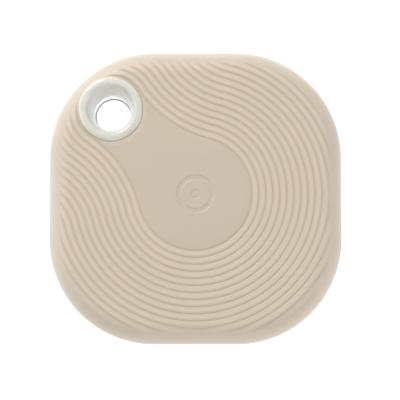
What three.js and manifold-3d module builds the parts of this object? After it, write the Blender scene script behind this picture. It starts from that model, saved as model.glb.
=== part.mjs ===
// A keyring tracker tag, modelled as the separate pieces that it comes apart into.
// The whole front cover is the push button: it floats on a tongue of the rear housing and
// presses a tact switch. A flared eyelet through one corner takes a split ring, and a
// quarter-turn door in the back lets the coin cell out.
// Millimetres, +Z out of the front face, origin at the centre of the flat back.

import * as THREE from 'three';
import { mergeVertices } from 'three/addons/utils/BufferGeometryUtils.js';
import Module from 'manifold-3d';

// ---------------------------------------------------------------- driving dimensions

// Case outline, seen from the front
const caseWidth = 40;
const caseLength = 40;
const cornerRadius = 14.4;
const edgeRoll = 3.0;          // how far the front edge rolls inwards
const edgeRollHeight = 3.4;    // how far down the side the roll reaches
const backRoll = 2.4;
const backRollHeight = 2.6;

// Walls and the joint between the shells
const coverWall = 1.5;
const skirtWall = 1.3;
const floorThickness = 1.4;
const shoulderHeight = 4.2;    // where the housing's outer wall stops
const revealGap = 0.45;        // open line between the cover's skirt and the shoulder
const tongueClearance = 0.15;
const tongueWall = 0.9;
const cavityRoll = 2.2;
const catchWidth = 6;          // snap catches on the tongue, one on each side
const catchReach = 0.45;
const catchHeight = 0.35;
const catchClearance = 0.05;
const gasketHeight = 0.55;
const gasketWidth = 0.54;
const gasketSeatDepth = 0.45;

// Press action
const pressTravel = 0.3;
const pressGap = 0.02;
const pressClearance = 0.3;    // left over at the end of the travel

// Eyelet
const boreRadius = 2.5;
const eyeletWall = 0.8;
const eyeletClearance = 0.12;  // round the eyelet where the cover slides along it
const collarWall = 1.1;
const collarSealSection = 0.22;
const collarSealGroove = 0.5;
const rearBoreStep = 0.14;     // the rear half is this much tighter than the sleeve
const bezelRadius = 4.35;
const bezelRise = 0.2;         // crest of the bezel above the middle of the face
const bezelCrestInset = 0.72;  // from the bezel's edge in to its crest
const bezelSeatDepth = 0.9;
const rearFlangeInset = 0.5;   // from the bezel's edge in to the smaller rear ring's edge
const bezelDepth = 5.2;        // the bell of the bezel runs down to about half the thickness
const rearRingHeight = 1.4;
const rearFlange = 0.67;
const eyeletFromSide = 8.5;    // from the left side and the top end to the eyelet's axis
const eyeletFromEnd = 8.15;
const bossWall = 0.65;
const bossStand = 0.6;         // the boss rises this far above the board

// Coin cell and its bay
const cellDiameter = 20;
const cellThickness = 3.2;
const cellClearance = 0.35;
const bayWall = 0.9;

// Battery door
const doorStandoff = 0.05;     // keeps the door off the surface that the tag lies on
const doorPlate = 1.05;
const doorFlange = 0.85;
const doorRingWall = 0.7;
const doorGap = 0.12;
const lugReach = 0.8;
const lugThickness = 0.5;
const lugAngle = 24;
const lugCount = 3;
const doorTurn = 36;
const ledgeThickness = 0.7;
const coinSlotWidth = 1.7;
const coinSlotLength = 13;
const coinSlotDepth = 0.65;
const doorRingSection = 0.28;  // radius of the sealing ring's section
const doorRingInset = 0.75;    // from the flange's edge to the middle of the sealing ring
const doorRingGroove = 0.7;    // width of its groove
const cellPadThickness = 0.4;
const cellPadInset = 3;
const cradleHeightGap = 0.25;
const cradleOpening = 34;      // degrees left open for the contact in the side

// Circuit board and what stands on it
const contactSpace = 0.5;
const sideContactAngle = - 45;
const sideContactWidth = 4;
const sideContactFoot = 1.5;
const leafSpread = 0.3;        // the side leaf stands off the can by this at its ends
const leafEnd = 0.7;
const topContactWidth = 3;
const topContactReach = 6;
const topContactFoot = 1.5;
const boardThickness = 0.8;
const boardClearance = 0.3;
const switchSize = 4.5;
const switchHeight = 1.1;
const switchFloor = 0.35;
const domeSheet = 0.08;
const plungerCollar = 0.14;
const plungerStand = 0.5;
const plungerRadius = 1.1;
const plungerLip = 0.25;
const plungerClearance = 0.1;
const actuatorThickness = 0.6;
const actuatorRadius = 2.2;
const actuatorBossHeight = 0.28;
const buzzerRadius = 4.5;
const buzzerHeight = 1.6;
const buzzerWall = 0.5;
const buzzerLid = 0.4;
const buzzerPort = 0.8;
const buzzerPlateHeight = 0.55; // above the board
const buzzerPlateSheet = 0.2;
const buzzerDiscInset = 0.9;
const screwShank = 0.7;
const screwHead = 1.4;
const screwHeadHeight = 0.6;
const screwLength = 3.2;
const screwPoint = 0.2;
const screwSlot = 0.3;
const screwClearance = 0.1;    // round the shank in the board
const postRadius = 1.8;
const postInset = 7.3;         // from each side to the axis of a screw post

const sheet = 0.15;            // metal strip of the contacts
const fitGap = 0.03;           // between pieces that touch

// ---------------------------------------------------------------- levels and places

const lugBottom = doorStandoff + doorFlange + doorGap + ledgeThickness + doorGap;
const doorRingTop = lugBottom + lugThickness;
const ledgeBottom = doorStandoff + doorFlange + doorGap;
const ledgeTop = ledgeBottom + ledgeThickness;
const cellBottom = doorStandoff + doorPlate + cellPadThickness;
const cellTop = cellBottom + cellThickness;
const boardBottom = cellTop + contactSpace;
const boardTop = boardBottom + boardThickness;
const plungerTop = boardTop + switchHeight + plungerStand;
const actuatorBottom = plungerTop + pressGap;
const cavityTop = actuatorBottom + actuatorThickness + actuatorBossHeight;
const faceTop = cavityTop + coverWall;
const skirtBottom = shoulderHeight + revealGap;
const tongueTop = cavityTop - cavityRoll;

const tongueInset = skirtWall + tongueClearance;
const innerInset = tongueInset + tongueWall;

const cellRadius = cellDiameter / 2;
const doorRingInner = cellRadius + cellClearance;
const doorRingOuter = doorRingInner + doorRingWall;
const ledgeInner = doorRingOuter + 2 * doorGap;
const lugOuter = doorRingOuter + lugReach;
const bayInner = lugOuter + 2 * doorGap;
const bayOuter = bayInner + bayWall;
const doorRadius = bayOuter - 2 * doorGap;
const recessRadius = doorRadius + doorGap;

const eyeletOuter = boreRadius + eyeletWall;
const rearFlangeRadius = bezelRadius - rearFlangeInset;
const bossRadius = eyeletOuter + fitGap + bossWall;
const eyeletAt = new THREE.Vector2( eyeletFromSide - caseWidth / 2, caseLength / 2 - eyeletFromEnd );
// The cell bay touches the eyelet's boss, on the line from the eyelet to the middle of the case.
const bayAt = eyeletAt.clone().addScaledVector(
	eyeletAt.clone().negate().normalize(), bossRadius + bayOuter + fitGap );

const catchBottom = tongueTop - catchHeight - 0.15;
const gasketTop = catchBottom - 0.2;
const bossTop = boardTop + bossStand;
const collarBottom = bossTop + pressTravel + pressClearance;
const collarSealAt = collarBottom + collarSealGroove / 2 + 0.4;
const bezelFoot = faceTop - bezelDepth;

// ---------------------------------------------------------------- solids

const wasm = await Module();
wasm.setup();

// A closed three.js geometry as a solid that can be joined and cut.
function solid( geometry ) {

	const bare = geometry.clone();
	bare.deleteAttribute( 'normal' );
	bare.deleteAttribute( 'uv' );
	const merged = mergeVertices( bare, 1e-4 );
	return new wasm.Manifold( new wasm.Mesh( {
		numProp: 3,
		vertProperties: merged.attributes.position.array,
		triVerts: new Uint32Array( merged.index.array )
	} ) );

}

function geometryOf( made ) {

	const mesh = made.getMesh();
	const geometry = new THREE.BufferGeometry();
	geometry.setAttribute( 'position', new THREE.BufferAttribute( mesh.vertProperties, 3 ) );
	geometry.setIndex( new THREE.BufferAttribute( mesh.triVerts, 1 ) );
	return geometry;

}

const outlineSegments = 8;
const roundSegments = 32;

// The case outline, moved inwards by inset.
function outline( inset ) {

	const x = caseWidth / 2 - inset;
	const y = caseLength / 2 - inset;
	const r = Math.max( cornerRadius - inset, 0.5 );
	const shape = new THREE.Shape();
	shape.absarc( x - r, y - r, r, 0, Math.PI / 2 );
	shape.absarc( r - x, y - r, r, Math.PI / 2, Math.PI );
	shape.absarc( r - x, r - y, r, Math.PI, 1.5 * Math.PI );
	shape.absarc( x - r, r - y, r, 1.5 * Math.PI, 2 * Math.PI );
	return shape;

}

function extrude( shape, bottom, top, segments = outlineSegments ) {

	const geometry = new THREE.ExtrudeGeometry( shape, {
		depth: top - bottom, bevelEnabled: false, curveSegments: segments
	} );
	return solid( geometry.translate( 0, 0, bottom ) );

}

function plate( inset, bottom, top ) {

	return extrude( outline( inset ), bottom, top );

}

// A plate whose top and bottom edges are rolled over, size inwards by height down.
function rolledPlate( inset, bottom, top, size, height, steps ) {

	const geometry = new THREE.ExtrudeGeometry( outline( inset + size ), {
		depth: top - bottom - 2 * height,
		bevelEnabled: true,
		bevelSize: size,
		bevelThickness: height,
		bevelSegments: steps,
		curveSegments: outlineSegments
	} );
	return solid( geometry.translate( 0, 0, bottom + height ) );

}

// A solid of revolution about Z from a closed profile of [ radius, height ] points.
function turned( profile, segments = roundSegments ) {

	const points = profile.map( ( [ r, z ] ) => new THREE.Vector2( r, z ) );
	if ( THREE.ShapeUtils.isClockWise( points ) ) points.reverse();
	points.push( points[ 0 ] );
	return solid( new THREE.LatheGeometry( points, segments ).rotateX( Math.PI / 2 ) );

}

function rod( radius, bottom, top, segments = roundSegments ) {

	const geometry = new THREE.CylinderGeometry( radius, radius, top - bottom, segments );
	return solid( geometry.rotateX( Math.PI / 2 ).translate( 0, 0, ( bottom + top ) / 2 ) );

}

function block( width, length, bottom, top ) {

	const geometry = new THREE.BoxGeometry( width, length, top - bottom );
	return solid( geometry.translate( 0, 0, ( bottom + top ) / 2 ) );

}

function moved( made, at ) {

	return made.translate( [ at.x, at.y, 0 ] );

}

function turnedBy( made, degrees ) {

	return made.rotate( [ 0, 0, degrees ] );

}

// A wedge of the ring from inner to outer, width degrees wide, centred on +X.
function sector( inner, outer, width, bottom, top, segments = 8 ) {

	const half = THREE.MathUtils.degToRad( width / 2 );
	const shape = new THREE.Shape();
	shape.absarc( 0, 0, outer, - half, half );
	shape.absarc( 0, 0, inner, half, - half, true );
	return extrude( shape, bottom, top, segments );

}

// ---------------------------------------------------------------- materials

function material( color, roughness, metalness = 0 ) {

	return new THREE.MeshStandardMaterial( { color, roughness, metalness } );

}

const beigeShell = material( 0xd3c4ae, 0.55 );
const creamGloss = material( 0xe6e2d6, 0.2 );
const steel = material( 0xc9cbcd, 0.25, 1 );
const brass = material( 0xc9a85a, 0.35, 1 );
const beigeRubber = material( 0xb8a78f, 0.8 );
const blackRubber = material( 0x2b2b2c, 0.85 );
const foam = material( 0x57585a, 0.95 );
const boardGreen = material( 0x1f5a3c, 0.45 );
const chipBlack = material( 0x1d1e20, 0.5 );
const whiteCeramic = material( 0xe8e6df, 0.5 );
const capacitorTan = material( 0xa98a63, 0.5 );
const nylonWhite = material( 0xdedcd3, 0.6 );
const clearLens = material( 0xf2efd8, 0.15 );

const tag = new THREE.Group();

function place( name, made, look, at = new THREE.Vector2() ) {

	const mesh = new THREE.Mesh( geometryOf( made ), look );
	mesh.name = name;
	mesh.position.set( at.x, at.y, 0 );
	tag.add( mesh );

}

// ---------------------------------------------------------------- shells

const sideList = [ [ 1, 0 ], [ - 1, 0 ], [ 0, 1 ], [ 0, - 1 ] ];

// A bar along each of the four sides, between two insets from the outline.
function sideBars( width, outerInset, innerBarInset, bottom, top ) {

	const depth = innerBarInset - outerInset;
	const inwards = ( outerInset + innerBarInset ) / 2;
	return sideList.map( ( [ dx, dy ] ) => {

		const bar = dx ? block( depth, width, bottom, top ) : block( width, depth, bottom, top );
		return bar.translate( [ dx * ( caseWidth / 2 - inwards ), dy * ( caseLength / 2 - inwards ), 0 ] );

	} );

}

function joined( first, pieces ) {

	return pieces.reduce( ( made, piece ) => made.add( piece ), first );

}

function cut( first, pieces ) {

	return pieces.reduce( ( made, piece ) => made.subtract( piece ), first );

}

// The outer form of the front: the upper half of a plate with rolled edges.
function frontForm() {

	return rolledPlate( 0, skirtBottom - 2 * edgeRollHeight, faceTop, edgeRoll, edgeRollHeight, 5 )
		.intersect( plate( - 1, skirtBottom, faceTop + 1 ) );

}

function frontCover() {

	const cavity = rolledPlate( skirtWall, skirtBottom - 3 * cavityRoll, cavityTop, cavityRoll, cavityRoll, 2 );
	const collar = moved( rod( eyeletOuter + collarWall, collarBottom, cavityTop + 0.1 ), eyeletAt );
	const boss = rod( actuatorRadius + 0.4, cavityTop - actuatorBossHeight, cavityTop + 0.1, 24 );
	const shell = frontForm().subtract( cavity ).add( collar.intersect( frontForm() ) ).add( boss );
	const windows = sideBars( catchWidth + 0.6, skirtWall - catchReach + catchClearance, skirtWall + 1,
		catchBottom - catchClearance, catchBottom + catchHeight + pressTravel + 2 * catchClearance );
	const sealGroove = rod( eyeletOuter + eyeletClearance + collarSealGroove,
		collarSealAt - collarSealGroove / 2, collarSealAt + collarSealGroove / 2 );
	return cut( shell, [
		moved( rod( eyeletOuter + eyeletClearance, 0, faceTop + 1 ), eyeletAt ),
		moved( rod( bezelRadius + eyeletClearance, faceTop - bezelSeatDepth, faceTop + 1 ), eyeletAt ),
		moved( sealGroove, eyeletAt ),
		...windows
	] );

}

// Three corners have a screw post; the eyelet has the fourth.
function posts() {

	const x = caseWidth / 2 - postInset;
	const y = caseLength / 2 - postInset;
	return [ new THREE.Vector2( x, y ), new THREE.Vector2( x, - y ), new THREE.Vector2( - x, - y ) ];

}

// The ledge has a notch for each lug, where the door goes in before it is turned.
function ledgeNotches() {

	const notch = sector( doorRingInner, lugOuter + doorGap, lugAngle + 6, - 1, ledgeTop + 0.1 );
	return Array.from( { length: lugCount }, ( _, i ) =>
		moved( turnedBy( notch, i * 360 / lugCount - doorTurn ), bayAt ) );

}

function rearHousing() {

	const wall = rolledPlate( 0, 0, shoulderHeight + 2 * backRollHeight, backRoll, backRollHeight, 4 )
		.intersect( plate( - 1, - 1, shoulderHeight ) );
	const tongue = plate( tongueInset, floorThickness, tongueTop );
	const tray = wall.add( tongue ).subtract( plate( innerInset, floorThickness, tongueTop + 1 ) );
	const inFloor = floorThickness / 2;
	const bay = moved( rod( bayOuter, inFloor, boardBottom - fitGap ), bayAt );
	const boss = moved( rod( bossRadius, inFloor, bossTop ), eyeletAt )
		.intersect( plate( tongueInset, 0, bossTop ) );
	const post = rod( postRadius, inFloor, boardBottom - fitGap, 20 );
	const catches = sideBars( catchWidth, tongueInset - catchReach, tongueInset + 0.1,
		catchBottom, catchBottom + catchHeight );
	const filled = joined( tray, [ bay, boss, ...posts().map( ( at ) => moved( post, at ) ), ...catches ] );

	const gasketSeat = extrude( ringShape( tongueInset - 1, tongueInset + gasketSeatDepth ),
		gasketTop - gasketHeight - fitGap, gasketTop + fitGap );
	const screwHole = rod( screwShank + fitGap, floorThickness, boardTop, 16 );
	return cut( filled, [
		moved( rod( bayInner, ledgeTop, boardTop ), bayAt ),
		moved( rod( ledgeInner, - 1, ledgeTop + 0.1 ), bayAt ),
		moved( rod( recessRadius, - 1, ledgeBottom ), bayAt ),
		...ledgeNotches(),
		moved( rod( eyeletOuter + fitGap, - 1, bossTop + 1 ), eyeletAt ),
		moved( rod( rearFlangeRadius + fitGap, - 1, doorStandoff + rearFlange + fitGap ), eyeletAt ),
		gasketSeat,
		...posts().map( ( at ) => moved( screwHole, at ) )
	] );

}

// The case outline as a ring between two insets.
function ringShape( outerInset, innerRingInset ) {

	const ring = outline( outerInset );
	ring.holes.push( outline( innerRingInset ) );
	return ring;

}

function coverGasket() {

	const inset = skirtWall + fitGap;
	return extrude( ringShape( inset, inset + gasketWidth ), gasketTop - gasketHeight, gasketTop );

}

function actuatorPad() {

	return rod( actuatorRadius, actuatorBottom, actuatorBottom + actuatorThickness - fitGap, 24 );

}

place( 'front_cover', frontCover(), beigeShell );
place( 'rear_housing', rearHousing(), beigeShell );
place( 'cover_gasket', coverGasket(), beigeRubber );
place( 'actuator_pad', actuatorPad(), blackRubber );

// ---------------------------------------------------------------- eyelet

// The funnel of a flared end, from the bore up to the crest: a quarter of an ellipse.
function funnel( bore, crest, foot, lip, steps ) {

	return Array.from( { length: steps + 1 }, ( _, i ) => {

		const turn = Math.PI / 2 * i / steps;
		return [ crest - ( crest - bore ) * Math.cos( turn ), foot + ( lip - foot ) * Math.sin( turn ) ];

	} );

}

function eyeletBezel() {

	const seat = faceTop - bezelSeatDepth + fitGap;
	return turned( [
		...funnel( boreRadius, bezelRadius - bezelCrestInset, bezelFoot, faceTop + bezelRise, 6 ),
		[ bezelRadius - bezelCrestInset / 2, faceTop + bezelRise / 2 ],
		[ bezelRadius, faceTop - bezelRise ],
		[ bezelRadius, seat ],
		[ eyeletOuter, seat ],
		[ eyeletOuter, bezelFoot ]
	] );

}

function eyeletSleeve() {

	const bottom = rearRingHeight + fitGap;
	const top = bezelFoot - fitGap;
	return turned( [
		[ boreRadius, bottom ], [ eyeletOuter, bottom ], [ eyeletOuter, top ], [ boreRadius, top ]
	] );

}

function eyeletRearRing() {

	const bore = boreRadius - rearBoreStep;
	const top = doorStandoff + rearFlange;
	return turned( [
		...funnel( bore, rearFlangeRadius - bezelCrestInset, rearRingHeight - 0.3, doorStandoff, 5 ),
		[ rearFlangeRadius, doorStandoff + bezelRise ],
		[ rearFlangeRadius, top ],
		[ eyeletOuter, top ],
		[ eyeletOuter, rearRingHeight ],
		[ bore, rearRingHeight ]
	] );

}

// A rubber ring of round section, lying flat.
function sealRing( radius, section, height, segments = roundSegments ) {

	return solid( new THREE.TorusGeometry( radius, section, 6, segments ).translate( 0, 0, height ) );

}

function eyeletSeal() {

	const radius = eyeletOuter + eyeletClearance + collarSealSection;
	return sealRing( radius, collarSealSection - fitGap / 2, collarSealAt, 24 );

}

place( 'eyelet_bezel', eyeletBezel(), creamGloss, eyeletAt );
place( 'eyelet_sleeve', eyeletSleeve(), steel, eyeletAt );
place( 'eyelet_rear_ring', eyeletRearRing(), creamGloss, eyeletAt );
place( 'eyelet_seal', eyeletSeal(), blackRubber, eyeletAt );

// ---------------------------------------------------------------- battery door

function batteryDoor() {

	const ring = rod( doorRingOuter, doorStandoff, doorRingTop );
	const flange = rod( doorRadius, doorStandoff, doorStandoff + doorFlange );
	const lug = sector( doorRingOuter - 0.3, lugOuter, lugAngle, lugBottom, doorRingTop, 4 );
	const lugs = Array.from( { length: lugCount }, ( _, i ) => turnedBy( lug, i * 360 / lugCount ) );
	const slot = block( coinSlotLength, coinSlotWidth, - 1, doorStandoff + coinSlotDepth );
	const inner = doorRadius - doorRingInset - doorRingGroove / 2;
	const outer = inner + doorRingGroove;
	const grooveFoot = ledgeBottom - 2 * doorRingSection - fitGap;
	const groove = turned( [
		[ inner, grooveFoot ], [ outer, grooveFoot ], [ outer, ledgeBottom ], [ inner, ledgeBottom ]
	] );
	return cut( joined( ring.add( flange ), lugs ), [
		rod( doorRingInner, doorStandoff + doorPlate, doorRingTop + 1 ),
		turnedBy( slot, 45 ),
		groove
	] );

}

function doorSeal() {

	const section = doorRingSection - fitGap / 2;
	return sealRing( doorRadius - doorRingInset, section, ledgeBottom - doorRingSection - fitGap / 2 );

}

function cellPad() {

	return rod( cellRadius - cellPadInset, doorStandoff + doorPlate + fitGap / 2, cellBottom - fitGap );

}

place( 'battery_door', batteryDoor(), beigeShell, bayAt );
place( 'door_seal', doorSeal(), blackRubber, bayAt );
place( 'cell_pad', cellPad(), foam, bayAt );

// ---------------------------------------------------------------- coin cell

const canWall = 0.28;
const crimp = 0.12;            // bend of the can's edge over the seal
const capInset = 1.1;          // from the can's outside to the cap's rim
const capDrop = 0.25;          // from the cap's face down to the crimped edge of the can
const sealWall = 0.16;
const rimDepth = 0.55;
const cellCorner = 0.3;
const capRadius = cellRadius - capInset;
const crimpTop = cellTop - capDrop;
const sealOuter = capRadius + fitGap + sealWall;

function cellCan() {

	return turned( [
		[ 0, cellBottom ], [ cellRadius - cellCorner, cellBottom ], [ cellRadius, cellBottom + cellCorner ],
		[ cellRadius, crimpTop - 4 * crimp ], [ cellRadius - crimp, crimpTop - crimp ],
		[ cellRadius - 4 * crimp, crimpTop ], [ sealOuter + fitGap, crimpTop ],
		[ sealOuter + fitGap, crimpTop - canWall ], [ cellRadius - canWall - crimp, crimpTop - 5 * crimp ],
		[ cellRadius - canWall, cellBottom + canWall ], [ 0, cellBottom + canWall ]
	] );

}

function cellCap() {

	const rim = crimpTop - rimDepth;
	const neck = capRadius - cellCorner;
	return turned( [
		[ 0, cellTop ], [ neck - 4 * crimp, cellTop ], [ neck - crimp, cellTop - crimp ],
		[ neck, crimpTop ], [ capRadius, crimpTop - crimp / 2 ], [ capRadius, rim ],
		[ neck, rim ], [ neck - crimp, crimpTop - canWall ],
		[ neck - 4 * crimp, cellTop - canWall - crimp ], [ 0, cellTop - canWall - crimp ]
	] );

}

// The insulating ring between the can and the cap, which wraps under the cap's rim.
function cellSeal() {

	const lip = crimpTop + fitGap;
	const under = crimpTop - rimDepth - fitGap;
	return turned( [
		[ capRadius + fitGap, lip ], [ sealOuter, lip ], [ sealOuter, under - sealWall ],
		[ capRadius - cellCorner, under - sealWall ], [ capRadius - cellCorner, under ],
		[ capRadius + fitGap, under ]
	] );

}

function cellCore() {

	return rod( cellRadius - 1.3, cellBottom + canWall + fitGap, crimpTop - rimDepth - 2 * fitGap - sealWall );

}

place( 'cell_can', cellCan(), steel, bayAt );
place( 'cell_cap', cellCap(), steel, bayAt );
place( 'cell_seal', cellSeal(), nylonWhite, bayAt );
place( 'cell_core', cellCore(), chipBlack, bayAt );

// ---------------------------------------------------------------- cradle and contacts

function cellCradle() {

	const inner = doorRingInner - 0.1;
	const outer = bayInner - 2 * fitGap;
	const bottom = doorRingTop + cradleHeightGap;
	const top = boardBottom - fitGap;
	const ring = turned( [ [ inner, bottom ], [ outer, bottom ], [ outer, top ], [ inner, top ] ] );
	const opening = sector( cellRadius - 1, outer + 1, cradleOpening, bottom - 1, top + 1 );
	return ring.subtract( turnedBy( opening, sideContactAngle ) );

}

// A bent metal strip: one side of its profile in the XZ plane, as points each followed by the
// step from there to the other side.
function strip( side, width ) {

	const near = side.map( ( [ x, z ] ) => new THREE.Vector2( x, z ) );
	const far = side.map( ( [ x, z, dx, dz ] ) => new THREE.Vector2( x + dx, z + dz ) ).reverse();
	const shape = new THREE.Shape( [ ...near, ...far ] );
	const geometry = new THREE.ExtrudeGeometry( shape, { depth: width, bevelEnabled: false } );
	return solid( geometry.translate( 0, 0, - width / 2 ).rotateX( Math.PI / 2 ) );

}

// A spring leaf that stands against the side of the can, with a soldered foot under the board.
function positiveContact() {

	const top = boardBottom - fitGap;
	const touch = cellRadius + fitGap;
	const knee = cellBottom + cellThickness / 2;
	const leaf = strip( [
		[ touch + leafSpread, knee - leafEnd, sheet, 0 ],
		[ touch, knee, sheet, 0 ],
		[ touch + leafSpread, top, sheet, - sheet ],
		[ touch + sideContactFoot, top, 0, - sheet ]
	], sideContactWidth );
	return turnedBy( leaf, sideContactAngle );

}

// An arched leaf between the board and the cell's cap.
function negativeContact() {

	const top = boardBottom - fitGap - sheet;
	const low = cellTop + fitGap;
	const bend = topContactReach - topContactFoot;
	return strip( [
		[ - topContactReach, top, 0, sheet ], [ - bend, top, 0, sheet ],
		[ - topContactFoot, low, 0, sheet ], [ topContactFoot, low, 0, sheet ],
		[ bend, top, 0, sheet ], [ topContactReach, top, 0, sheet ]
	], topContactWidth );

}

place( 'cell_cradle', cellCradle(), nylonWhite, bayAt );
place( 'positive_contact', positiveContact(), brass, bayAt );
place( 'negative_contact', negativeContact(), brass, bayAt );

// ---------------------------------------------------------------- circuit board

const boardInset = innerInset + boardClearance;
const boardEdge = caseWidth / 2 - boardInset;
const boardEnd = caseLength / 2 - boardInset;

function circuitBoard() {

	const holes = posts().map( ( at ) => moved( rod( screwShank + screwClearance, 0, boardTop + 1, 16 ), at ) );
	return cut( plate( boardInset, boardBottom, boardTop ), [
		moved( rod( bossRadius + boardClearance, 0, boardTop + 1 ), eyeletAt ),
		...holes
	] );

}

// A moulded package: a block whose top edges are chamfered.
function packageBlock( width, length, height, chamfer ) {

	const shape = new THREE.Shape();
	const x = width / 2 - chamfer;
	const y = length / 2 - chamfer;
	shape.moveTo( - x, - y );
	shape.lineTo( x, - y );
	shape.lineTo( x, y );
	shape.lineTo( - x, y );
	shape.closePath();
	const geometry = new THREE.ExtrudeGeometry( shape, {
		depth: height - 2 * chamfer,
		bevelEnabled: true,
		bevelSize: chamfer,
		bevelThickness: chamfer,
		bevelSegments: 1
	} );
	return solid( geometry.translate( 0, 0, boardTop + fitGap + chamfer ) );

}

place( 'circuit_board', circuitBoard(), boardGreen );

// Name, width, length, height, chamfer, place in X and in Y, and look of each soldered part
const components = [
	[ 'radio_chip', 5, 5, 0.85, 0.06, 7.2, 5.4, chipBlack ],
	[ 'radio_crystal', 2, 1.6, 0.5, 0.05, 7.2, 1.2, steel ],
	[ 'clock_crystal', 1.5, 3.2, 0.8, 0.06, 3.2, 5.4, steel ],
	[ 'chip_antenna', 2, 5.2, 1.1, 0.05, boardEdge - 1.6, 0, whiteCeramic ],
	[ 'status_led', 1.6, 0.8, 0.6, 0.05, 0, 4.2, clearLens ],
	[ 'supply_inductor', 2, 1.6, 0.9, 0.08, 7.6, - 2.2, chipBlack ],
	[ 'capacitor_1', 1, 0.5, 0.5, 0.04, 7.2, 9.4, capacitorTan ],
	[ 'capacitor_2', 1, 0.5, 0.5, 0.04, 4.9, 9.4, capacitorTan ],
	[ 'capacitor_3', 0.5, 1, 0.5, 0.04, 11, 4.2, capacitorTan ],
	[ 'capacitor_4', 0.5, 1, 0.5, 0.04, 11, 6.4, capacitorTan ],
	[ 'bulk_capacitor', 3.2, 1.6, 1.3, 0.08, 6, - boardEnd + 5, capacitorTan ],
	[ 'resistor_1', 1, 0.5, 0.35, 0.03, - 2.6, 4.2, chipBlack ],
	[ 'resistor_2', 1, 0.5, 0.35, 0.03, 7.2, - 4.6, chipBlack ]
];

for ( const [ name, width, length, height, chamfer, x, y, look ] of components ) {

	place( name, packageBlock( width, length, height, chamfer ), look, new THREE.Vector2( x, y ) );

}

// ---------------------------------------------------------------- tact switch

// Levels inside the switch, from its floor up to the collar that its frame holds down.
const domeFoot = boardTop + switchFloor + fitGap;
const collarTop = boardTop + switchHeight - sheet - fitGap;
const collarFoot = collarTop - plungerCollar;
const domeTop = collarFoot - fitGap;
const domeRadius = plungerRadius + plungerLip + 0.35;

function switchBase() {

	const base = packageBlock( switchSize, switchSize, switchHeight - sheet - 2 * fitGap, 0.05 );
	return base.subtract( rod( domeRadius + 0.15, boardTop + switchFloor, boardTop + switchHeight + 1, 24 ) );

}

function switchDome() {

	const shoulder = domeFoot + 0.75 * ( domeTop - domeFoot );
	return turned( [
		[ 0, domeTop - domeSheet ], [ domeRadius * 0.6, shoulder - domeSheet ], [ domeRadius, domeFoot ],
		[ domeRadius, domeFoot + domeSheet ], [ domeRadius * 0.6, shoulder ], [ 0, domeTop ]
	], 24 );

}

function switchFrame() {

	const bottom = boardTop + switchHeight - sheet;
	return block( switchSize, switchSize, bottom, bottom + sheet )
		.subtract( rod( plungerRadius + plungerClearance, bottom - 1, bottom + 1, 24 ) );

}

// The plunger rests on the dome, and a collar under the frame keeps it in.
function switchPlunger() {

	return turned( [
		[ 0, collarFoot ], [ plungerRadius + plungerLip, collarFoot ],
		[ plungerRadius + plungerLip, collarTop ], [ plungerRadius, collarTop ],
		[ plungerRadius, plungerTop - 0.1 ], [ plungerRadius - 0.1, plungerTop ], [ 0, plungerTop ]
	], 24 );

}

place( 'switch_base', switchBase(), chipBlack );
place( 'switch_dome', switchDome(), steel );
place( 'switch_frame', switchFrame(), steel );
place( 'switch_plunger', switchPlunger(), nylonWhite );

// ---------------------------------------------------------------- sounder

const buzzerAt = new THREE.Vector2( - 6.4, - 8.2 );
const buzzerInner = buzzerRadius - buzzerWall;
const plateBottom = boardTop + buzzerPlateHeight;
const plateTop = plateBottom + buzzerPlateSheet;

function buzzerCase() {

	const bottom = boardTop + fitGap;
	const top = bottom + buzzerHeight;
	const port = rod( buzzerPort, bottom, top + 1, 16 ).translate( [ buzzerRadius / 2, 0, 0 ] );
	return cut( rod( buzzerRadius, bottom, top ), [ rod( buzzerInner, bottom - 1, top - buzzerLid ), port ] );

}

function buzzerCeramic() {

	return rod( buzzerInner - buzzerDiscInset, plateTop + fitGap, plateTop + fitGap + sheet );

}

place( 'buzzer_case', buzzerCase(), chipBlack, buzzerAt );
place( 'buzzer_plate', rod( buzzerInner - fitGap, plateBottom, plateTop ), brass, buzzerAt );
place( 'buzzer_ceramic', buzzerCeramic(), whiteCeramic, buzzerAt );

// ---------------------------------------------------------------- board screws

function boardScrew() {

	const seat = boardTop + fitGap;
	const tip = seat - screwLength;
	const top = seat + screwHeadHeight;
	const screw = turned( [
		[ 0, tip ], [ screwShank / 2, tip ], [ screwShank, tip + screwPoint ], [ screwShank, seat ],
		[ screwHead, seat ], [ screwHead, top - screwPoint ], [ screwHead * 0.75, top ], [ 0, top ]
	], 16 );
	const arm = block( screwHead, screwSlot, top - screwHeadHeight / 2, top + 1 );
	return cut( screw, [ arm, turnedBy( arm, 90 ) ] );

}

posts().forEach( ( at, i ) => place( `board_screw_${ i + 1 }`, boardScrew(), steel, at ) );

export default tag;
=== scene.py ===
import math

import bmesh
import bpy
from mathutils import Matrix, Vector
from mathutils.geometry import delaunay_2d_cdt


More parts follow.
